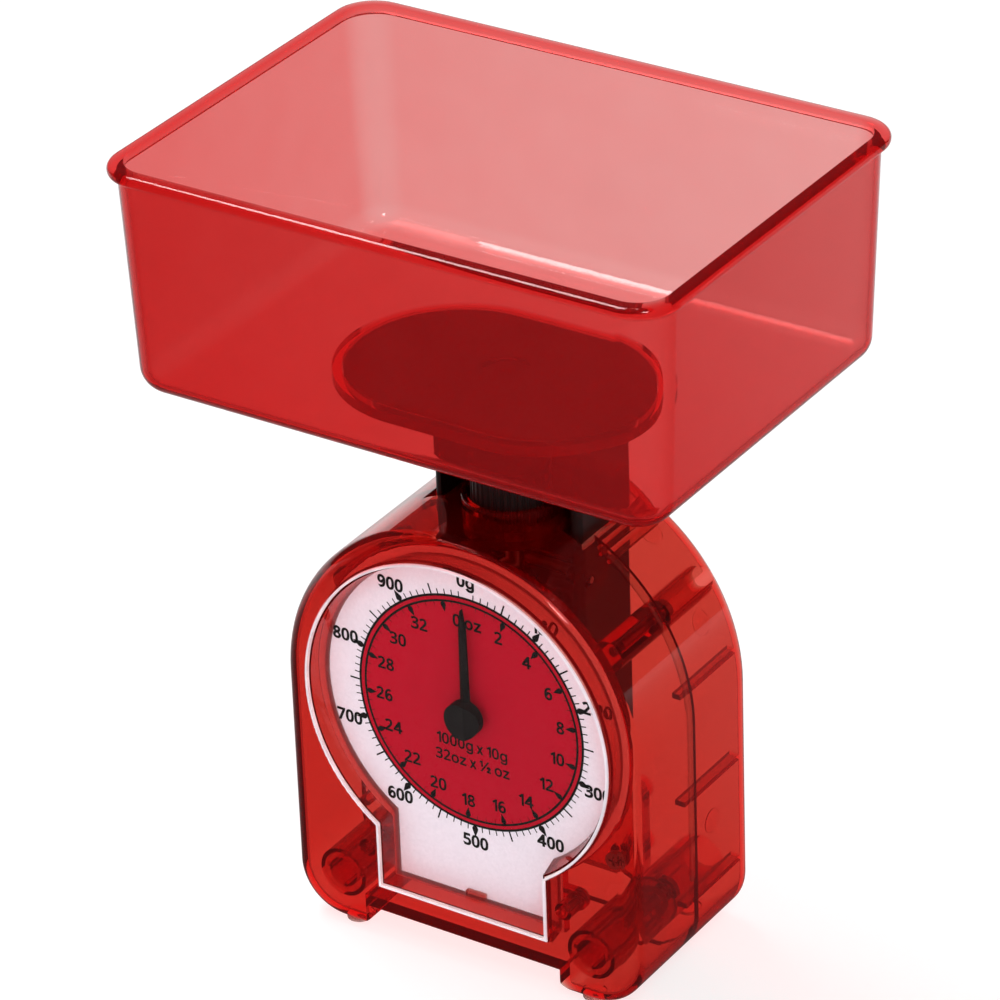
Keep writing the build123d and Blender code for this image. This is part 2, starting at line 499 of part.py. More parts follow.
def make_pointer_bush():
    """Brass bush that carries the front of the pointer's shaft."""
    bush = along_y(0, DIAL_Z, 2.5, CARD_Y, -18) + along_y(0, DIAL_Z, 3.6, PLATE_BACK_Y, PLATE_BACK_Y + 0.8)
    return bush - along_y(0, DIAL_Z, BEARING_R, CARD_Y - 1, -17)


def make_gear_bridge():
    """Bar behind the pinion that carries the back of the pointer's shaft."""
    bar = slab(Pos(0.5, DIAL_Z) * SlotOverall(33, 10), BRIDGE_FRONT_Y, BRIDGE_Y)
    bar += along_y(0, DIAL_Z, 2.2, BRIDGE_FRONT_Y - 1.2, BRIDGE_Y)
    bar -= along_y(0, DIAL_Z, BEARING_R, BRIDGE_FRONT_Y - 3, BRIDGE_Y + 1)
    for x in BRIDGE_SCREW_XS:
        bar -= along_y(x, DIAL_Z, 1.3, BRIDGE_FRONT_Y - 1, BRIDGE_Y + 1)
    return bar


# Frame and links


def make_mechanism_frame():
    """Upright plate with two bearing tubes for the links, on a wide foot screwed to the rear shell."""
    frame = block(-FRAME_X, FRAME_X, FRAME_FRONT_Y, FRAME_BACK_Y, FRAME_FOOT_BOTTOM_Z, FRAME_TOP_Z)
    foot = (-FRAME_FOOT_X, FRAME_FOOT_X, FRAME_FRONT_Y, FRAME_BACK_Y, FRAME_FOOT_BOTTOM_Z, FRAME_FOOT_TOP_Z)
    frame += block(*foot)
    for side in (-1, 1):
        rib = sorted((side * (FRAME_X - 2), side * FRAME_X))
        frame += block(*rib, FRAME_BACK_Y - 0.5, FRAME_RIB_BACK_Y, FRAME_FOOT_TOP_Z - 5, FRAME_TOP_Z)
    frame -= block(-7, 7, FRAME_FRONT_Y - 1, FRAME_BACK_Y + 1, 66, 96)
    for pivot_z in (HIGH_PIVOT_Z, LOW_PIVOT_Z):
        frame += along_x(PIVOT_Y, pivot_z, 3.2, -15.8, 15.8)
        frame -= along_x(PIVOT_Y, pivot_z, ROD_BORE_R, -17, 17)
    for side in (-1, 1):
        for z in POST_ZS:
            frame -= along_y(side * POST_X, z, 1.5, FRAME_FRONT_Y - 1, FRAME_BACK_Y + 1)
    return frame


def make_link_arms(pivot_z):
    """Left and right arms of one link, from its pivot in the frame up to the column's pins."""
    front = (PIVOT_Y - LINK_REACH, pivot_z + LINK_RISE)
    middle = ((PIVOT_Y + front[0]) / 2, (pivot_z + front[1]) / 2)
    tilt = -degrees(asin(LINK_RISE / LINK_LENGTH))
    outline = Pos(*middle) * Rot(0, 0, tilt) * SlotOverall(LINK_LENGTH + 2 * ARM_R, 2 * ARM_R)
    outline -= Pos(PIVOT_Y, pivot_z) * Circle(ROD_R)
    outline -= Pos(*front) * Circle(PIN_R)
    arm = extrude(Plane.YZ.offset(ARM_IN_X) * outline, ARM_OUT_X - ARM_IN_X)
    return [arm, mirror(arm, Plane.YZ)]


def make_link_pins(pivot_z):
    y, z = PIVOT_Y - LINK_REACH, pivot_z + LINK_RISE
    return [along_x(y, z, PIN_R, -COLUMN_OUT_X, -ARM_IN_X), along_x(y, z, PIN_R, ARM_IN_X, COLUMN_OUT_X)]


def make_pivot_rod(pivot_z):
    return along_x(PIVOT_Y, pivot_z, ROD_R, -ARM_OUT_X, ARM_OUT_X)


# Zero knob and spring


def make_zero_knob():
    """Fluted knob. Turning it moves the spring's anchor up or down to set the pointer to zero."""
    knob = along_z(0, 0, KNOB_R, KNOB_BOTTOM_Z, KNOB_TOP_Z)
    knob = fillet(knob.edges().group_by(Axis.Z)[-1], 1.2)
    knob += along_z(0, 0, 5, COLLAR_FLOOR_Z + 0.05, KNOB_BOTTOM_Z)
    outline = PolarLocations(KNOB_R + 0.15, GROOVES) * Circle(GROOVE_R)
    knob -= extrude(Pos(0, 0, KNOB_BOTTOM_Z - 1) * Sketch(children=list(outline)), 16)
    return knob - along_z(0, 0, ANCHOR_R + 0.05, COLLAR_FLOOR_Z - 1, KNOB_TOP_Z - 2)


def make_anchor_screw():
    """Screw that the knob drives up and down. The spring's top coils grip its plug."""
    screw = along_z(0, 0, ANCHOR_R, 107, ANCHOR_TOP_Z) + along_z(0, 0, PLUG_R, 100, SPRING_TOP_Z)
    return screw


def make_main_spring():
    """Coil spring between the anchor's plug and the yoke's plug."""
    height = SPRING_TOP_Z - SPRING_BOTTOM_Z - 2 * WIRE_R
    path = Helix(height / SPRING_TURNS, height, SPRING_R)
    wire = sweep(Plane(path @ 0, z_dir=path % 0) * Circle(WIRE_R), path)
    return Pos(0, 0, SPRING_BOTTOM_Z + WIRE_R) * wire


# Screws


def y_screw(x, z, seat_y, end_y, head_r, shank_r, head_depth):
    """Screw along Y. Its head stands on the side of seat_y away from end_y."""
    towards = -1 if end_y > seat_y else 1
    head_y = sorted((seat_y, seat_y + towards * head_depth))
    shank_y = sorted((seat_y + towards * head_depth / 2, end_y))
    cross_y = sorted((seat_y + towards * (head_depth - 0.8), seat_y + towards * (head_depth + 1)))
    head = along_y(x, z, head_r, *head_y)
    head -= block(x - head_r * 0.6, x + head_r * 0.6, *cross_y, z - 0.35, z + 0.35)
    head -= block(x - 0.35, x + 0.35, *cross_y, z - head_r * 0.6, z + head_r * 0.6)
    return head + along_y(x, z, shank_r, *shank_y)


def make_case_screws():
    return [y_screw(x, z, HEAD_SEAT_Y, -14, CASE_HEAD_R, CASE_SCREW_R, 2.2) for x, z, _, _ in boss_places()]


def make_frame_screws():
    places = [(side * POST_X, z) for side in (-1, 1) for z in POST_ZS]
    return [y_screw(x, z, FRAME_FRONT_Y, 23, 2.6, 1.3, 1.8) for x, z in places]


def make_dial_screws():
    return both_sides(lambda side: y_screw(side * EAR_X, EAR_Z, PLATE_BACK_Y, -27, 2.0, 1.05, 1.4))


def make_bridge_screws():
    return [y_screw(x, DIAL_Z, BRIDGE_Y, -17, 2.2, 1.05, 1.4) for x in BRIDGE_SCREW_XS]


def make_platform_screws():
    seat_z = PLATE_BOTTOM_Z - LUG_THICK
    screws = []
    for x, y in plate_screw_places():
        screws.append(along_z(x, y, 2.6, seat_z - 1.8, seat_z) + along_z(x, y, 1.25, seat_z - 1, seat_z + 6))
    return screws


def make_yoke_screws():
    screws = []
    for side in (-1, 1):
        head = sorted((side * COLUMN_OUT_X, side * (COLUMN_OUT_X + 1.4)))
        shank = sorted((side * 16, side * (COLUMN_OUT_X + 0.5)))
        screws.append(along_x(YOKE_SCREW_Y, YOKE_SCREW_Z, 2.3, *head)
                      + along_x(YOKE_SCREW_Y, YOKE_SCREW_Z, 1.2, *shank))
    return screws


PARTS = {
    "bowl": make_bowl(),
    "platform_plate": make_platform_plate(),
    "platform_column": make_platform_column(),
    "platform_screws": make_platform_screws(),
    "spring_yoke": make_spring_yoke(),
    "yoke_screws": make_yoke_screws(),
    "rack": make_rack(),
    "rack_screw": make_rack_screw(),
    "pinion_shaft": make_pinion_shaft(),
    "pointer": make_pointer(),
    "front_shell": make_front_shell(),
    "rear_shell": make_rear_shell(),
    "window_lens": make_window_lens(),
    "dial_card": make_dial_card(),
    "dial_plate": make_dial_plate(),
    "pointer_bush": make_pointer_bush(),
    "gear_bridge": make_gear_bridge(),
    "mechanism_frame": make_mechanism_frame(),
    "upper_link_arms": make_link_arms(HIGH_PIVOT_Z),
    "upper_link_pins": make_link_pins(HIGH_PIVOT_Z),
    "upper_pivot_rod": make_pivot_rod(HIGH_PIVOT_Z),
    "lower_link_arms": make_link_arms(LOW_PIVOT_Z),
    "lower_link_pins": make_link_pins(LOW_PIVOT_Z),
    "lower_pivot_rod": make_pivot_rod(LOW_PIVOT_Z),
    "zero_knob": make_zero_knob(),
    "anchor_screw": make_anchor_screw(),
    "main_spring": make_main_spring(),
    "case_screws": make_case_screws(),
    "frame_screws": make_frame_screws(),
    "dial_screws": make_dial_screws(),
    "bridge_screws": make_bridge_screws(),
}

os.makedirs("parts", exist_ok=True)
for name, shape in PARTS.items():
    solids = shape if isinstance(shape, list) else [shape]
    whole = solids[0] if len(solids) == 1 else Compound(children=solids)
    export_step(whole, f"parts/{name}.step")
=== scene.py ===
import functools
import math
import os

import bmesh
import bpy
from mathutils import Matrix, Vector
from mathutils.geometry import delaunay_2d_cdt


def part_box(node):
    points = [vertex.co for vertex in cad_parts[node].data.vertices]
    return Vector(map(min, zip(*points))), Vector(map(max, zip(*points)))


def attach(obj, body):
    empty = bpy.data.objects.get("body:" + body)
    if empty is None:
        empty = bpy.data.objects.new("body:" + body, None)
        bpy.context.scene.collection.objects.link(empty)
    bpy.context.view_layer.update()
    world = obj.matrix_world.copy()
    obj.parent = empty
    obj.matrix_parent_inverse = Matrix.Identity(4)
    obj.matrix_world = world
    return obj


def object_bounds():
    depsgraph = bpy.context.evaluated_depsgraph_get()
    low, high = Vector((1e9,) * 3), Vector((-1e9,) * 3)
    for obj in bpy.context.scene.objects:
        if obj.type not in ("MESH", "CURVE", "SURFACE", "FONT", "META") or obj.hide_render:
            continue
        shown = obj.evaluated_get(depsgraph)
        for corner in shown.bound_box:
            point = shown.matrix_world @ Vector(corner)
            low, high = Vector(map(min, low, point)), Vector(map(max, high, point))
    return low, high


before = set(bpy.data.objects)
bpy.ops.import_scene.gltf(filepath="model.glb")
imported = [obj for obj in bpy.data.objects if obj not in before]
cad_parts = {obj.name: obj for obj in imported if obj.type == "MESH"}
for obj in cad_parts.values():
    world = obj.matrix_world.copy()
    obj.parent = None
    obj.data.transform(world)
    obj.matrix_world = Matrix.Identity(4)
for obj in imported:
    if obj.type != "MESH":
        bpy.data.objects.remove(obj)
CAD_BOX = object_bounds()

# A mechanical kitchen scale in clear red plastic. Metres, in the frame's own axes: X to the right of
# the dial's reader, Y away from them, Z up. Sizes below are in millimetres, times MM.
MM = 0.001

# The dial's middle, on the front face of its card.
card_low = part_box("dial_card")[0]
bush_low, bush_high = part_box("pointer_bush")
DIAL = Vector((0.0, card_low.y, (bush_low.z + bush_high.z) / 2))

# Window outline from the dial's middle: a circle on top of a straight leg, with a painted bright glow band
# along its cut edge.
lens_low, lens_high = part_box("window_lens")
LENS_R, LENS_LEG_X, LENS_BOTTOM = lens_high.z - DIAL.z, 27.2 * MM, lens_low.z - DIAL.z
PAINTED_GLOW_BAND = 0.7 * MM

# Print on the dial, as radii from its middle.
DISC_R = 35.2 * MM
OUTER_RING = (35.05 * MM, 35.75 * MM)
INNER_RING = (33.4 * MM, 34.05 * MM)
PAINT_LIFT, PAINT_THICK = 0.02 * MM, 0.02 * MM
INK_LIFT, INK_THICK = 0.05 * MM, 0.03 * MM

# Marks on the rings, as widths and lengths. Gram marks point outwards and ounce marks inwards.
GRAM_TICK, GRAM_HALF_MARK, GRAM_DROP = (0.3 * MM, 1.5 * MM), (0.45 * MM, 3.0 * MM), (1.9 * MM, 3.5 * MM)
OUNCE_TICK, OUNCE_DROP = (0.14 * MM, -1.2 * MM), (1.7 * MM, 3.1 * MM)

# One turn of the pointer is the whole range, and a turn is in radians.
GRAM_RANGE, OUNCE_IN_GRAMS, LAST_OUNCE = 1000, 28.3495, 32
GRAM_TURN = 2 * math.pi / GRAM_RANGE
OUNCE_TURN = GRAM_TURN * OUNCE_IN_GRAMS

# Lettering. Gaps are in heights of a figure, and weight is the ink added all round a thin letter.
LETTER_GAP, WORD_GAP = 0.15, 0.26
X_WIDTH, X_HEIGHT, X_STROKE = 0.56, 0.72, 0.13
HALF_FIGURE = 0.27
GRAM_HEIGHT, OUNCE_HEIGHT, RANGE_HEIGHT = 3.6 * MM, 3.6 * MM, 3.3 * MM
GRAM_WEIGHT, OUNCE_WEIGHT, RANGE_WEIGHT = 0.19 * MM, 0.14 * MM, 0.10 * MM
GRAM_FOOT_R, OUNCE_HEAD_R = 38.9 * MM, 29.8 * MM
RANGE_LINES = (("1000g x 10g", -10.4 * MM), ("32oz x ½ oz", -15.6 * MM))

# Clear plastic: how far a wall bends light, its coat's gloss and the wall that its tints are given for.
WALL_BEND, COAT_BEND, POLISH = 1.15, 1.5, 0.02
TINT_DEPTH = 2 * MM
HALF_WIDTH, HALF_DEPTH = CAD_BOX[1][0], CAD_BOX[1][1]

# Stage. The floor is bright behind the scale, along BEHIND, from BRIGHT_BEHIND metres on.
FLOOR_HALF, FLOOR_PALE, FLOOR_GLOW = 6.0, 0.35, 0.76
BEHIND, BRIGHT_BEHIND, FRONT_DIM = Vector((-0.56, 0.83)), 0.4, 0.92
WORLD_FILL, WORLD_DIM, THROUGH_WALL = 0.3, 0.96, 0.45

# Camera: where it stands, where it looks and how far it leans over.
EYE, AHEAD, ROLL = Vector((0.7070, -1.0571, 0.8487)), Vector((-0.48584, 0.72257, -0.49179)), -2.16
FOCAL_LENGTH, SENSOR_WIDTH = 198.3, 36.0


# Node trees, written as plain expressions


class Signal:
    """A socket that takes part in plain arithmetic."""

    def __init__(self, graph, socket):
        self.graph = graph
        self.socket = socket

    def out(self, name):
        return Signal(self.graph, self.socket.node.outputs[name])

    def maths(self, operation, first, second=0.0):
        return self.graph.node("ShaderNodeMath", {"operation": operation}, {0: first, 1: second})

    def __add__(self, other):
        return self.maths("ADD", self, other)

    def __sub__(self, other):
        return self.maths("SUBTRACT", self, other)

    def __rsub__(self, other):
        return self.maths("SUBTRACT", other, self)

    def __mul__(self, other):
        return self.maths("MULTIPLY", self, other)

    def __mod__(self, other):
        return self.maths("MODULO", self, other)

    def __gt__(self, other):
        return self.maths("GREATER_THAN", self, other)

    def __abs__(self):
        return self.maths("ABSOLUTE", self)

    def __pow__(self, other):
        return self.maths("POWER", self, other)

    def at_least(self, other):
        return self.maths("MAXIMUM", self, other)

    def at_most(self, other):
        return self.maths("MINIMUM", self, other)

    __radd__ = __add__
    __rmul__ = __mul__


class Graph:
    """A node tree and the one way of adding to it."""

    def __init__(self, tree):
        self.tree = tree
        self.tree.nodes.clear()

    def node(self, kind, settings=None, inputs=None):
        """Adds a node: its settings first, then the values or links of its sockets."""
        made = self.tree.nodes.new(kind)
        for name, value in (settings or {}).items():
            if name == "stops":
                self.set_stops(made.color_ramp, value)
            else:
                setattr(made, name, value)
        for name, value in (inputs or {}).items():
            if isinstance(value, Signal):
                self.tree.links.new(value.socket, made.inputs[name])
            else:
                made.inputs[name].default_value = value
        return Signal(self, made.outputs[0]) if made.outputs else made

    @staticmethod
    def set_stops(ramp, stops):
        while len(ramp.elements) < len(stops):
            ramp.elements.new(1.0)
        for element, (place, colour) in zip(ramp.elements, stops):
            element.position = place
            element.color = colour


class Finish(Graph):
    """A material that ends in one Principled shader."""

    def __init__(self, name):
        self.material = bpy.data.materials.new(name)
        self.material.use_nodes = True
        super().__init__(self.material.node_tree)
        self.place = self.node("ShaderNodeTexCoord").out("Object")

    def noise(self, size, detail=3.0, roughness=0.55):
        """Cloudy pattern from 0 to 1 whose blotches are about size across."""
        inputs = {"Vector": self.place, "Scale": 1 / size, "Detail": detail, "Roughness": roughness}
        return self.node("ShaderNodeTexNoise", {}, inputs)

    def scratches(self, size, stretch):
        """Fine lines drawn out along a direction."""
        drawn = self.node("ShaderNodeMapping", {}, {"Vector": self.place, "Scale": stretch})
        inputs = {"Vector": drawn, "Scale": 1 / size, "Detail": 2.0, "Roughness": 0.6}
        return self.node("ShaderNodeTexNoise", {}, inputs)

    def bump(self, height, depth):
        return self.node("ShaderNodeBump", {}, {"Height": height, "Distance": depth, "Strength": 1.0})

    def tones(self, factor, dark, light):
        """Mixes two colours by a pattern."""
        return self.node("ShaderNodeValToRGB", {"stops": [(0.3, dark), (0.7, light)]}, {"Fac": factor})

    def shade(self, inputs):
        return self.node("ShaderNodeBsdfPrincipled", {}, inputs)

    def close(self, surface, volume=None):
        links = {"Surface": surface}
        if volume is not None:
            links["Volume"] = volume
        self.node("ShaderNodeOutputMaterial", {}, links)
        return self.material


# Finishes


def clear_plastic(name, near_tint, far_painted_pale_tint, depth_tint, gloss):
    """Polished clear moulding. Light takes the tint through each wall, and thick places deepen it.

    The tint drifts slowly from near_tint at the front left to the paler far tint at the back right, a
    painted reflection that stands in for lit haze on the far walls. depth_tint is the share of red, green
    and blue light that TINT_DEPTH of the plastic lets through. The gloss comes from a clear coat, so its
    strength doesn't change how far the wall bends light.
    """
    made = Finish(name)
    clouds = made.noise(14 * MM)
    made.spot = made.node("ShaderNodeSeparateXYZ", {}, {"Vector": made.place})
    # Painted reflection: the wall's colour turns paler from the front left to the back right, in place of
    # lit haze and reflections on the far walls. The clouds are a random tone.
    painted_reflection_drift = made.spot.out("X") * (0.1 / HALF_WIDTH) + made.spot.out("Y") * (0.13 / HALF_DEPTH)
    inputs = {
        "Base Color": made.tones(0.45 + 0.1 * clouds + painted_reflection_drift, near_tint + (1,), far_painted_pale_tint + (1,)),
        "Transmission Weight": 1.0,
        "IOR": WALL_BEND,
        "Coat Weight": gloss,
        "Coat IOR": COAT_BEND,
        "Coat Roughness": POLISH,
        "Roughness": POLISH * (0.6 + 0.8 * clouds),
        "Normal": made.bump(made.noise(9 * MM, 1.0), 0.01 * MM),
    }
    made.glass = made.shade(inputs)
    loss = [-math.log(share) / TINT_DEPTH for share in depth_tint]
    density = 1.02 * max(loss)
    colour = tuple(1 - part / density for part in loss) + (1,)
    made.depth = made.node("ShaderNodeVolumeAbsorption", {}, {"Color": colour, "Density": density})
    return made


def lets_lamps_in(made, surface):
    """Closes a clear finish so that lamps light what is behind it."""
    through = made.node("ShaderNodeBsdfTransparent", {}, {"Color": (1, 1, 1, 1)})
    lamps = made.node("ShaderNodeLightPath").out("Is Shadow Ray")
    return made.close(made.node("ShaderNodeMixShader", {}, {0: lamps, 1: surface, 2: through}), made.depth)


def clear_red(name, near_tint, far_painted_pale_tint, depth_tint, milk, gloss):
    """Clear red plastic. A small share of it, milk, is cloudy and glows red in front of dark parts."""
    made = clear_plastic(name, near_tint, far_painted_pale_tint, depth_tint, gloss)
    cloudy = made.shade({
        "Base Color": made.tones(made.noise(20 * MM), (0.84, 0.018, 0.030, 1), (0.92, 0.026, 0.038, 1)),
        "Roughness": 0.6,
        "Specular IOR Level": 0.0,
    })
    surface = made.node("ShaderNodeMixShader", {}, {0: milk, 1: made.glass, 2: cloudy})
    return lets_lamps_in(made, surface)


def window_plastic(name):
    """Clear window with a painted highlight on its cut edge: a pale band with a faint glow stands in for
    the light the edge gathers.
    """
    made = clear_plastic(name, (0.98, 0.98, 0.98), (0.98, 0.98, 0.98), (0.99, 0.995, 0.99), 0.15)
    across, up = made.spot.out("X"), made.spot.out("Z") - DIAL.z
    round_gap = (across * across + up * up) ** 0.5 - LENS_R
    leg_gap = (abs(across) - LENS_LEG_X).at_least(LENS_BOTTOM - up)
    no_leg_above = 1000.0 * (up > 0.0)
    # Painted highlight: a thin band inside the window's outline takes mostly pale colour with a faint
    # emission, in place of the light the cut edge gathers.
    painted_glow_mask = round_gap.at_most(leg_gap + no_leg_above) > -PAINTED_GLOW_BAND
    painted_edge_glow = made.shade({
        "Base Color": made.tones(made.noise(6 * MM), (0.74, 0.70, 0.80, 1), (0.95, 0.93, 0.98, 1)),
        "Roughness": 0.2,
        "Emission Color": (1.0, 0.95, 1.0, 1),
        "Emission Strength": 0.25,
    })
    surface = made.node("ShaderNodeMixShader", {}, {0: painted_glow_mask * 0.8, 1: made.glass, 2: painted_edge_glow})
    return lets_lamps_in(made, surface)


def moulded_black(name, colour, roughness, grain, shine=0.4):
    """Black moulded plastic with a fine satin grain and a little dust in its roughness."""
    made = Finish(name)
    clouds = made.noise(8 * MM)
    light = tuple(1.6 * part for part in colour) + (1,)
    inputs = {
        "Base Color": made.tones(clouds, colour + (1,), light),
        "Roughness": roughness + 0.12 * clouds,
        "Normal": made.bump(made.noise(0.35 * MM, 2.0), grain),
        "Specular IOR Level": shine,
    }
    return made.close(made.shade(inputs))


def metal(name, dark, light, roughness, stretch):
    """Turned or plated metal with fine drawn lines."""
    made = Finish(name)
    lines = made.scratches(0.5 * MM, stretch)
    inputs = {
        "Base Color": made.tones(lines, dark, light),
        "Metallic": 1.0,
        "Roughness": roughness + 0.15 * lines,
        "Normal": made.bump(lines, 0.01 * MM),
    }
    return made.close(made.shade(inputs))


def printed(name, dark, light, roughness):
    """Card stock or ink with a faint mottle."""
    made = Finish(name)
    mottle = made.noise(0.9 * MM, 4.0)
    inputs = {
        "Base Color": made.tones(mottle, dark, light),
        "Roughness": roughness + 0.1 * mottle,
        "Normal": made.bump(made.noise(0.25 * MM, 2.0), 0.004 * MM),
        "Specular IOR Level": 0.03,
    }
    return made.close(made.shade(inputs))


# The second tint of each red is the paler back-right end of its painted reflection. For backing_red it
# barely differs.
BOWL_RED = clear_red("bowl_red", (0.73, 0.52, 0.50), (0.79, 1.0, 0.97), (0.992, 0.42, 0.42), 0.06, 0.8)
CASE_RED = clear_red("case_red", (0.75, 0.56, 0.50), (0.77, 0.88, 0.76), (0.992, 0.40, 0.38), 0.03, 0.8)
BACKING_RED = clear_red("backing_red", (0.70, 0.06, 0.09), (0.72, 0.07, 0.10), (0.97, 0.2, 0.25), 0.08, 0.6)
CLEAR_WINDOW = window_plastic("clear_window")
BLACK = moulded_black("satin_black", (0.012, 0.009, 0.008), 0.38, 0.012 * MM)
KNOB_BLACK = moulded_black("knob_black", (0.014, 0.012, 0.012), 0.28, 0.008 * MM)
PLATE_BLACK = moulded_black("plate_black", (0.030, 0.014, 0.014), 0.16, 0.006 * MM)
POINTER_BLACK = moulded_black("pointer_black", (0.008, 0.006, 0.006), 0.14, 0.004 * MM, 0.05)
STEEL = metal("plated_steel", (0.50, 0.50, 0.52, 1), (0.68, 0.68, 0.70, 1), 0.22, (1, 1, 8))
BRASS = metal("turned_brass", (0.66, 0.47, 0.18, 1), (0.82, 0.64, 0.30, 1), 0.20, (1, 8, 1))
CARD_WHITE = printed("card_white", (0.82, 0.76, 0.85, 1), (0.88, 0.82, 0.91, 1), 0.55)
DISC_RED = printed("disc_red", (0.42, 0.003, 0.016, 1), (0.46, 0.004, 0.020, 1), 0.50)
INK = printed("ink_black", (0.006, 0.005, 0.005, 1), (0.012, 0.010, 0.010, 1), 0.45)

NODE_FINISHES = {
    "bowl": BOWL_RED, "front_shell": CASE_RED, "rear_shell": CASE_RED,
    "dial_plate": BACKING_RED, "window_lens": CLEAR_WINDOW, "dial_card": CARD_WHITE,
    "platform_plate": PLATE_BLACK, "platform_column": BLACK, "spring_yoke": BLACK, "rack": BLACK,
    "gear_bridge": BLACK, "upper_link_arms": BLACK, "lower_link_arms": BLACK,
    "mechanism_frame": CASE_RED, "zero_knob": KNOB_BLACK, "pointer": POINTER_BLACK, "pointer_bush": BRASS,
}


def dress_nodes():
    """Gives each modelled node its finish; what isn't named is plated steel."""
    for name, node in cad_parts.items():
        for held in node.material_slots:
            held.material = NODE_FINISHES.get(name, STEEL)


# Meshes


def to_piece(name, mesh, body):
    """Puts a mesh at the origin as a piece that rides on a body."""
    piece = bpy.data.objects.new(name, mesh)
    bpy.context.scene.collection.objects.link(piece)
    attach(piece, body)


def area(loop):
    """Signed area of a closed outline, above 0 where it runs against the clock."""
    return sum(loop[step - 1][0] * y - x * loop[step - 1][1] for step, (x, y) in enumerate(loop)) / 2


def filled(outers, holes):
    """Points and triangles, in millimetres, of outlines that may overlap, less their holes."""
    loops = [loop if area(loop) > 0 else loop[::-1] for loop in outers + holes]
    points = [Vector((x / MM, z / MM)) for loop in loops for x, z in loop]
    faces, first = [], 0
    for loop in loops:
        faces.append(list(range(first, first + len(loop))))
        first += len(loop)
    points, _, triangles, _, _, within = delaunay_2d_cdt(points, [], faces, 1, 0.0001)
    kept = [corners for corners, owners in zip(triangles, within) if owners and max(owners) < len(outers)]
    return points, kept


def outline_solid(name, shapes, lift, thick, finish):
    """Flat solids that stand out towards -Y. Each shape is a list of outlines and a list of holes."""
    solid = bmesh.new()
    for outers, holes in shapes:
        points, triangles = filled(outers, holes)
        front, back = [[solid.verts.new((spot.x * MM, y, spot.y * MM)) for spot in points]
                       for y in (-lift - thick, -lift)]
        shared = {}
        for a, b, c in triangles:
            solid.faces.new((front[a], front[b], front[c]))
            solid.faces.new((back[c], back[b], back[a]))
            for side in (frozenset((a, b)), frozenset((b, c)), frozenset((c, a))):
                shared[side] = side in shared
        for a, b in [side for side, twice in shared.items() if not twice]:
            solid.faces.new((front[a], front[b], back[b], back[a]))
    loose = [corner for corner in solid.verts if not corner.link_faces]
    bmesh.ops.delete(solid, geom=loose, context="VERTS")
    bmesh.ops.recalc_face_normals(solid, faces=solid.faces)
    mesh = bpy.data.meshes.new(name)
    solid.to_mesh(mesh)
    solid.free()
    mesh.materials.append(finish)
    return mesh


def circle_points(radius, count=180):
    turns = [2 * math.pi * step / count for step in range(count)]
    return [(radius * math.sin(turn), radius * math.cos(turn)) for turn in turns]


def bar_points(width, length):
    """Tick that stands on its foot at the origin and points outwards, along +Z."""
    return [(-width / 2, 0), (-width / 2, length), (width / 2, length), (width / 2, 0)]


def drop_points(width, length, outwards):
    """Teardrop with its round end at the origin and its tip outwards or inwards."""
    radius, sign = width / 2, 1 if outwards else -1
    middle, round_steps = radius * 0.9, 10
    lean = math.acos(radius / (length - middle))
    points = [(0, sign * length)]
    for step in range(round_steps + 1):
        turn = lean + (2 * math.pi - 2 * lean) * step / round_steps
        points.append((radius * math.sin(turn), sign * (middle + radius * math.cos(turn))))
    return points


# Marks round the dial, by Geometry Nodes


NEVER = 10 ** 6


def dial_tree():
    """Repeats one mark round the dial's middle, leaving out every so-many-th."""
    tree = bpy.data.node_groups.new("marks_round_dial", "GeometryNodeTree")
    sockets = {
        "Count": "Int", "Step": "Float", "Radius": "Float", "Leave Out Every": "Int", "Centre": "Vector",
        "Finish": "Material",
    }
    tree.interface.new_socket("Geometry", in_out="INPUT", socket_type="NodeSocketGeometry")
    for name, kind in sockets.items():
        tree.interface.new_socket(name, in_out="INPUT", socket_type="NodeSocket" + kind)
    tree.interface.new_socket("Geometry", in_out="OUTPUT", socket_type="NodeSocketGeometry")
    graph = Graph(tree)
    given = graph.node("NodeGroupInput")
    index = graph.node("GeometryNodeInputIndex")
    turn = index * given.out("Step")
    across = graph.node("ShaderNodeMath", {"operation": "SINE"}, {0: turn}) * given.out("Radius")
    up = graph.node("ShaderNodeMath", {"operation": "COSINE"}, {0: turn}) * given.out("Radius")
    spot = graph.node("ShaderNodeCombineXYZ", {}, {"X": across, "Z": up})
    spot = graph.node("ShaderNodeVectorMath", {"operation": "ADD"}, {0: spot, 1: given.out("Centre")})
    points = graph.node("GeometryNodePoints", {}, {"Count": given.out("Count"), "Position": spot})
    kept = index % given.out("Leave Out Every") > 0.5
    facing = graph.node("ShaderNodeCombineXYZ", {}, {"Y": turn})
    marks = graph.node("GeometryNodeInstanceOnPoints", {}, {
        "Points": points, "Selection": kept, "Instance": given.out("Geometry"), "Rotation": facing})
    joined = graph.node("GeometryNodeRealizeInstances", {}, {"Geometry": marks})
    inked = graph.node("GeometryNodeSetMaterial", {}, {"Geometry": joined, "Material": given.out("Finish")})
    graph.node("NodeGroupOutput", {}, {"Geometry": inked})
    return tree


def grown(name, start, tree, inputs):
    """The plain mesh that a Geometry Nodes tree makes from a starting mesh."""
    holder = bpy.data.objects.new(name, start)
    bpy.context.scene.collection.objects.link(holder)
    modifier = holder.modifiers.new("grow", "NODES")
    modifier.node_group = tree
    for socket in tree.interface.items_tree:
        if socket.in_out == "INPUT" and socket.name in inputs:
            modifier[socket.identifier] = inputs[socket.name]
    bpy.context.view_layer.update()
    evaluated = holder.evaluated_get(bpy.context.evaluated_depsgraph_get())
    mesh = bpy.data.meshes.new_from_object(evaluated)
    bpy.data.objects.remove(holder)
    mesh.name = name
    return mesh


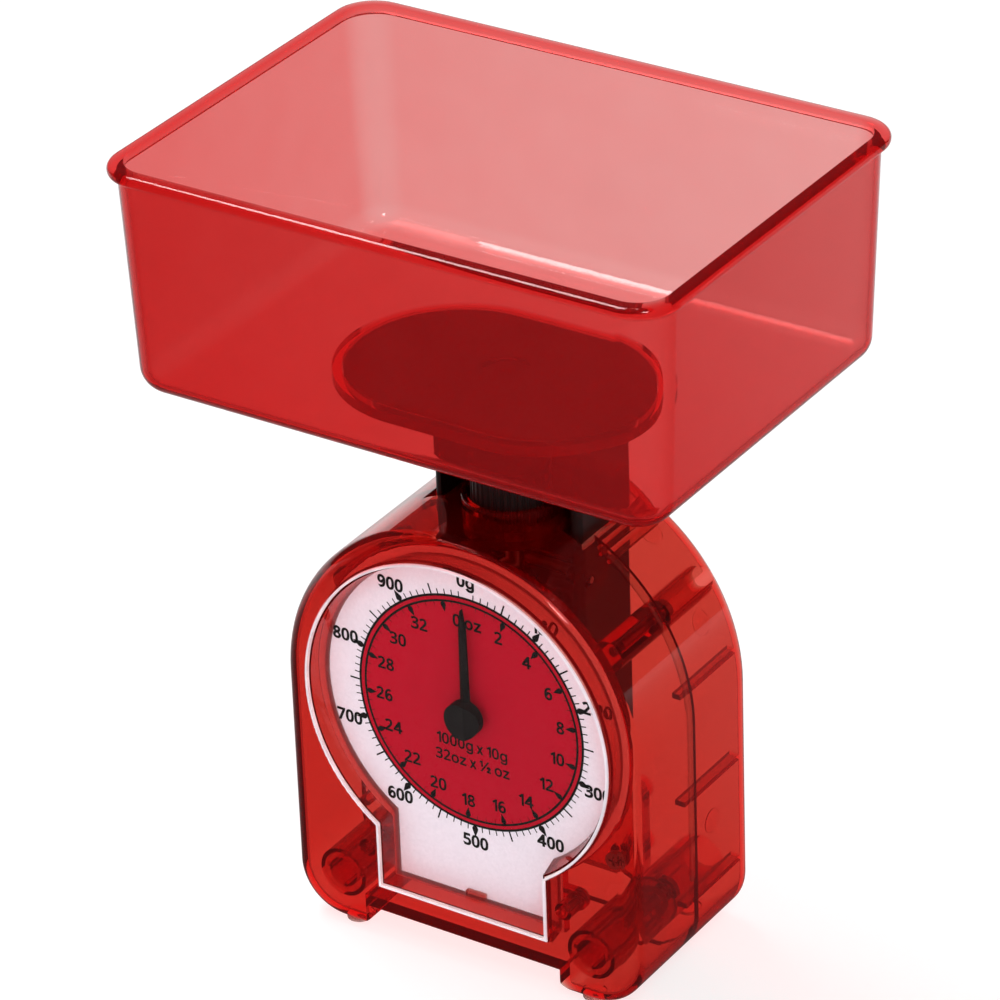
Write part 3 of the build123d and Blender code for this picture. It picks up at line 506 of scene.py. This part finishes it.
def dial_marks(name, tree, points, count, step, radius, leave_out):
    """A piece of count marks, with step radians between them."""
    mark = outline_solid(name + "_one", [([points], [])], INK_LIFT, INK_THICK, INK)
    settings = {"Count": count, "Step": step, "Radius": radius, "Leave Out Every": leave_out}
    settings.update({"Centre": tuple(DIAL), "Finish": INK})
    to_piece(name, grown(name, mark, tree, settings), "housing")


def to_dial(name, shapes, lift, thick, finish):
    """A printed piece, from shapes round the dial's middle."""
    mesh = outline_solid(name, shapes, lift, thick, finish)
    mesh.transform(Matrix.Translation(DIAL))
    to_piece(name, mesh, "housing")


def make_dial_print():
    to_dial("dial_red_disc", [([circle_points(DISC_R)], [])], PAINT_LIFT, PAINT_THICK, DISC_RED)
    rings = [([circle_points(outer)], [circle_points(inner)]) for inner, outer in (OUTER_RING, INNER_RING)]
    to_dial("dial_rings", rings, INK_LIFT, INK_THICK, INK)
    tree = dial_tree()
    outside, inside = OUTER_RING[1], INNER_RING[0]
    ten, fifty, half_ounce = 10 * GRAM_TURN, 50 * GRAM_TURN, 0.5 * OUNCE_TURN
    dial_marks("gram_ticks", tree, bar_points(*GRAM_TICK), 100, ten, outside, 5)
    dial_marks("gram_half_marks", tree, bar_points(*GRAM_HALF_MARK), 20, fifty, outside, 2)
    dial_marks("gram_drops", tree, drop_points(*GRAM_DROP, True), 10, 100 * GRAM_TURN, outside, NEVER)
    dial_marks("ounce_ticks", tree, bar_points(*OUNCE_TICK), 71, half_ounce, inside, 4)
    dial_marks("ounce_drops", tree, drop_points(*OUNCE_DROP, False), 18, 2 * OUNCE_TURN, inside, NEVER)


# Numbers on the dial


def plain_font(name):
    """One of Blender's own plain fonts, or its built-in one."""
    path = os.path.join(bpy.utils.system_resource("DATAFILES", path="fonts"), name)
    return bpy.data.fonts.load(path) if os.path.exists(path) else None


FIGURE_FONT, LETTER_FONT = plain_font("NotoSansDevanagari-Regular.woff2"), plain_font("Inter.woff2")


def outlines(character, font):
    """The closed outlines of a character, as lists of (across, up) points from the foot of its line."""
    curve = bpy.data.curves.new("lettering", "FONT")
    curve.body = character
    if font is not None:
        curve.font = font
    curve.resolution_u = 5
    curve.fill_mode = "NONE"
    holder = bpy.data.objects.new("lettering", curve)
    bpy.context.scene.collection.objects.link(holder)
    bpy.context.view_layer.update()
    mesh = bpy.data.meshes.new_from_object(holder.evaluated_get(bpy.context.evaluated_depsgraph_get()))
    bpy.data.objects.remove(holder)
    points = [(vertex.co.x, vertex.co.y) for vertex in mesh.vertices]
    closing = [sorted(edge.vertices) for edge in mesh.edges if abs(edge.vertices[0] - edge.vertices[1]) > 1]
    loops = [spaced(points[first:last + 1], 0.01) for first, last in closing]
    bpy.data.meshes.remove(mesh)
    return loops


def spaced(loop, gap):
    """A loop without the points that all but touch the one before."""
    return [point for step, point in enumerate(loop) if math.dist(point, loop[step - 1]) > gap]


def bolder(loop, weight):
    """A loop moved away from its ink by weight, along the mitre of each corner."""
    moved = []
    for step, (x, y) in enumerate(loop):
        before, after = Vector(loop[step - 1]), Vector(loop[(step + 1) % len(loop)])
        into, out_of = (Vector((x, y)) - before).normalized(), (after - Vector((x, y))).normalized()
        away = Vector((into.y + out_of.y, -into.x - out_of.x)) / max(1.0 + into.dot(out_of), 0.5)
        moved.append((x + weight * away.x, y + weight * away.y))
    return moved


def letter_shape(loops, weight):
    """A character's outlines and holes. The holes run the other way from the largest outline."""
    way = math.copysign(1.0, area(max(loops, key=lambda loop: abs(area(loop)))))
    outers = [bolder(loop, weight * way) for loop in loops if area(loop) * way > 0]
    holes = [bolder(loop, weight * way) for loop in loops if area(loop) * way < 0]
    return outers, holes


def reach(loops, axis):
    """Lowest and highest coordinate of some loops along an axis."""
    places = [point[axis] for loop in loops for point in loop]
    return min(places), max(places)


def cross_outline():
    """The letter x as one outline round its two bars, in heights of a figure."""
    across, up = X_WIDTH / 2, X_HEIGHT / 2
    notch = up * X_STROKE / (X_WIDTH - X_STROKE)
    right = [(0, -notch), (across - X_STROKE, -up), (across, -up), (X_STROKE / 2, 0), (across, up),
             (across - X_STROKE, up)]
    whole = right + [(-x, -y) for x, y in right]
    return [(across + x, up + y) for x, y in whole]


@functools.cache
def character_loops(character):
    """A character's outlines in heights of a figure, with its left side at 0."""
    if character == "x":
        return [cross_outline()]
    font = FIGURE_FONT if character in "0123456789" else LETTER_FONT
    low, high = reach(outlines("8", font), 1)
    loops = outlines(character, font)
    left = reach(loops, 0)[0]
    return [[((x - left) / (high - low), (y - low) / (high - low)) for x, y in loop] for loop in loops]


def lettering(text, height, middle, weight):
    """Shapes of a line of text, centred on (x, z) from the dial's middle."""
    shapes, start = [], 0.0
    for character in text:
        if character == " ":
            start += WORD_GAP
        else:
            loops = [[(start + x, y) for x, y in loop] for loop in character_loops(character)]
            shapes.append(letter_shape(loops, weight / height))
            start = reach(loops, 0)[1] + LETTER_GAP
    half, (x, z) = (start - LETTER_GAP) / 2, middle

    def placed(loops):
        return [[(x + height * (u - half), z + height * (v - 0.5)) for u, v in loop] for loop in loops]

    return [(placed(outers), placed(holes)) for outers, holes in shapes]


def round_dial(radius, turn):
    """The point (x, z) at a turn clockwise from the top of the dial."""
    return (radius * math.sin(turn), radius * math.cos(turn))


def figure(text, height, turn, edge, side, weight):
    """A number beside the rings: side is 1 outside them and -1 inside, and wide ones stand further off."""
    half_width = HALF_FIGURE * height * len(text)
    stand_off = math.hypot(half_width * math.sin(turn), height / 2 * math.cos(turn))
    return lettering(text, height, round_dial(edge + side * stand_off, turn), weight)


def make_dial_numbers():
    """The grams outside the rings, the ounces inside them and the two lines of range and division."""
    grams, ounces, lines = [], [], []
    for amount in range(0, GRAM_RANGE, 100):
        text = str(amount) if amount else "0g"
        grams += figure(text, GRAM_HEIGHT, amount * GRAM_TURN, GRAM_FOOT_R, 1, GRAM_WEIGHT)
    for amount in range(0, LAST_OUNCE + 1, 2):
        text = str(amount) if amount else "0 oz"
        ounces += figure(text, OUNCE_HEIGHT, amount * OUNCE_TURN, OUNCE_HEAD_R, -1, OUNCE_WEIGHT)
    for text, up in RANGE_LINES:
        lines += lettering(text, RANGE_HEIGHT, (0, up), RANGE_WEIGHT)
    for name, shapes in {"gram_numbers": grams, "ounce_numbers": ounces, "range_lines": lines}.items():
        to_dial(name, shapes, INK_LIFT, INK_THICK, INK)


# Stage


def mirrored(graph):
    """1 for a ray straight from a gloss, less for one that then left through a wall, and 0 for the rest."""
    path = graph.node("ShaderNodeLightPath")
    return path.out("Glossy Depth").at_most(1.0) * (1.0 - THROUGH_WALL * path.out("Is Transmission Ray"))


def make_floor():
    """Pale sweep that glows a little. The gloss of the scale sees its front part dark, as in a dim room."""
    shape = bmesh.new()
    corners = [(-FLOOR_HALF, -FLOOR_HALF), (FLOOR_HALF, -FLOOR_HALF), (FLOOR_HALF, FLOOR_HALF),
               (-FLOOR_HALF, FLOOR_HALF)]
    shape.faces.new([shape.verts.new((x, y, 0.0)) for x, y in corners])
    mesh = bpy.data.meshes.new("floor")
    shape.to_mesh(mesh)
    shape.free()
    floor = bpy.data.objects.new("floor", mesh)
    bpy.context.scene.collection.objects.link(floor)
    made = Finish("floor_white")
    spot = made.node("ShaderNodeSeparateXYZ", {}, {"Vector": made.place})
    behind = (spot.out("Y") * BEHIND.y + spot.out("X") * BEHIND.x) * (1 / BRIGHT_BEHIND)
    seen = 1.0 - FRONT_DIM * mirrored(made) * (1.0 - behind.at_least(0.0).at_most(1.0))
    pale = made.node("ShaderNodeCombineColor", {}, {"Red": seen, "Green": seen, "Blue": seen})
    inputs = {
        "Base Color": made.node("ShaderNodeMix", {"data_type": "RGBA", "blend_type": "MULTIPLY"},
                                {"Factor": 1.0, 6: pale, 7: (FLOOR_PALE,) * 3 + (1,)}).out(2),
        "Roughness": 0.8,
        "Specular IOR Level": 0.0,
        "Emission Color": pale,
        "Emission Strength": FLOOR_GLOW,
    }
    mesh.materials.append(made.close(made.shade(inputs)))


def make_world():
    """White behind the floor's edge, soft fill light, and almost dark in reflections."""
    world = bpy.data.worlds.new("studio")
    bpy.context.scene.world = world
    world.use_nodes = True
    sky = Graph(world.node_tree)
    fill = sky.node("ShaderNodeLightPath").out("Is Diffuse Ray") * (WORLD_FILL - 1.0)
    strength = 1.0 + fill - WORLD_DIM * mirrored(sky)
    light = sky.node("ShaderNodeBackground", {}, {"Color": (1, 1, 1, 1), "Strength": strength})
    sky.node("ShaderNodeOutputWorld", {}, {"Surface": light})


def make_lamp(name, place, target, width, height, energy):
    """Soft box that faces a target."""
    lamp = bpy.data.lights.new(name, "AREA")
    lamp.shape = "RECTANGLE"
    lamp.size, lamp.size_y = width, height
    lamp.energy = energy
    holder = bpy.data.objects.new(name, lamp)
    bpy.context.scene.collection.objects.link(holder)
    holder.location = place
    holder.rotation_euler = (Vector(target) - Vector(place)).to_track_quat("-Z", "Y").to_euler()


def make_camera():
    """Long lens, in front of the scale's right corner and above it, with a slight roll."""
    camera = bpy.data.cameras.new("camera")
    camera.lens, camera.sensor_width = FOCAL_LENGTH, SENSOR_WIDTH
    camera.clip_start, camera.clip_end = 0.05, 50.0
    holder = bpy.data.objects.new("camera", camera)
    bpy.context.scene.collection.objects.link(holder)
    ahead, roll = AHEAD.normalized(), math.radians(ROLL)
    right = ahead.cross(Vector((0, 0, 1))).normalized()
    up = right.cross(ahead)
    turned_right = right * math.cos(roll) + up * math.sin(roll)
    turned_up = up * math.cos(roll) - right * math.sin(roll)
    holder.matrix_world = Matrix((
        (turned_right.x, turned_up.x, -ahead.x, EYE.x),
        (turned_right.y, turned_up.y, -ahead.y, EYE.y),
        (turned_right.z, turned_up.z, -ahead.z, EYE.z),
        (0, 0, 0, 1)))
    bpy.context.scene.camera = holder


def set_light_paths():
    """Enough bounces to see through all the clear walls, and plain tones."""
    scene = bpy.context.scene
    scene.cycles.max_bounces = 24
    scene.cycles.transmission_bounces = 24
    scene.cycles.transparent_max_bounces = 32
    scene.view_settings.view_transform = "Standard"


dress_nodes()
make_dial_print()
make_dial_numbers()
make_floor()
make_world()
make_lamp("top_box", (-0.6, 0.1, 1.4), (0, 0, 0.15), 0.8, 0.5, 14)
make_lamp("front_box", (0.85, -0.8, 1.5), (0, 0, 0.1), 0.35, 0.5, 7)
make_camera()
set_light_paths()
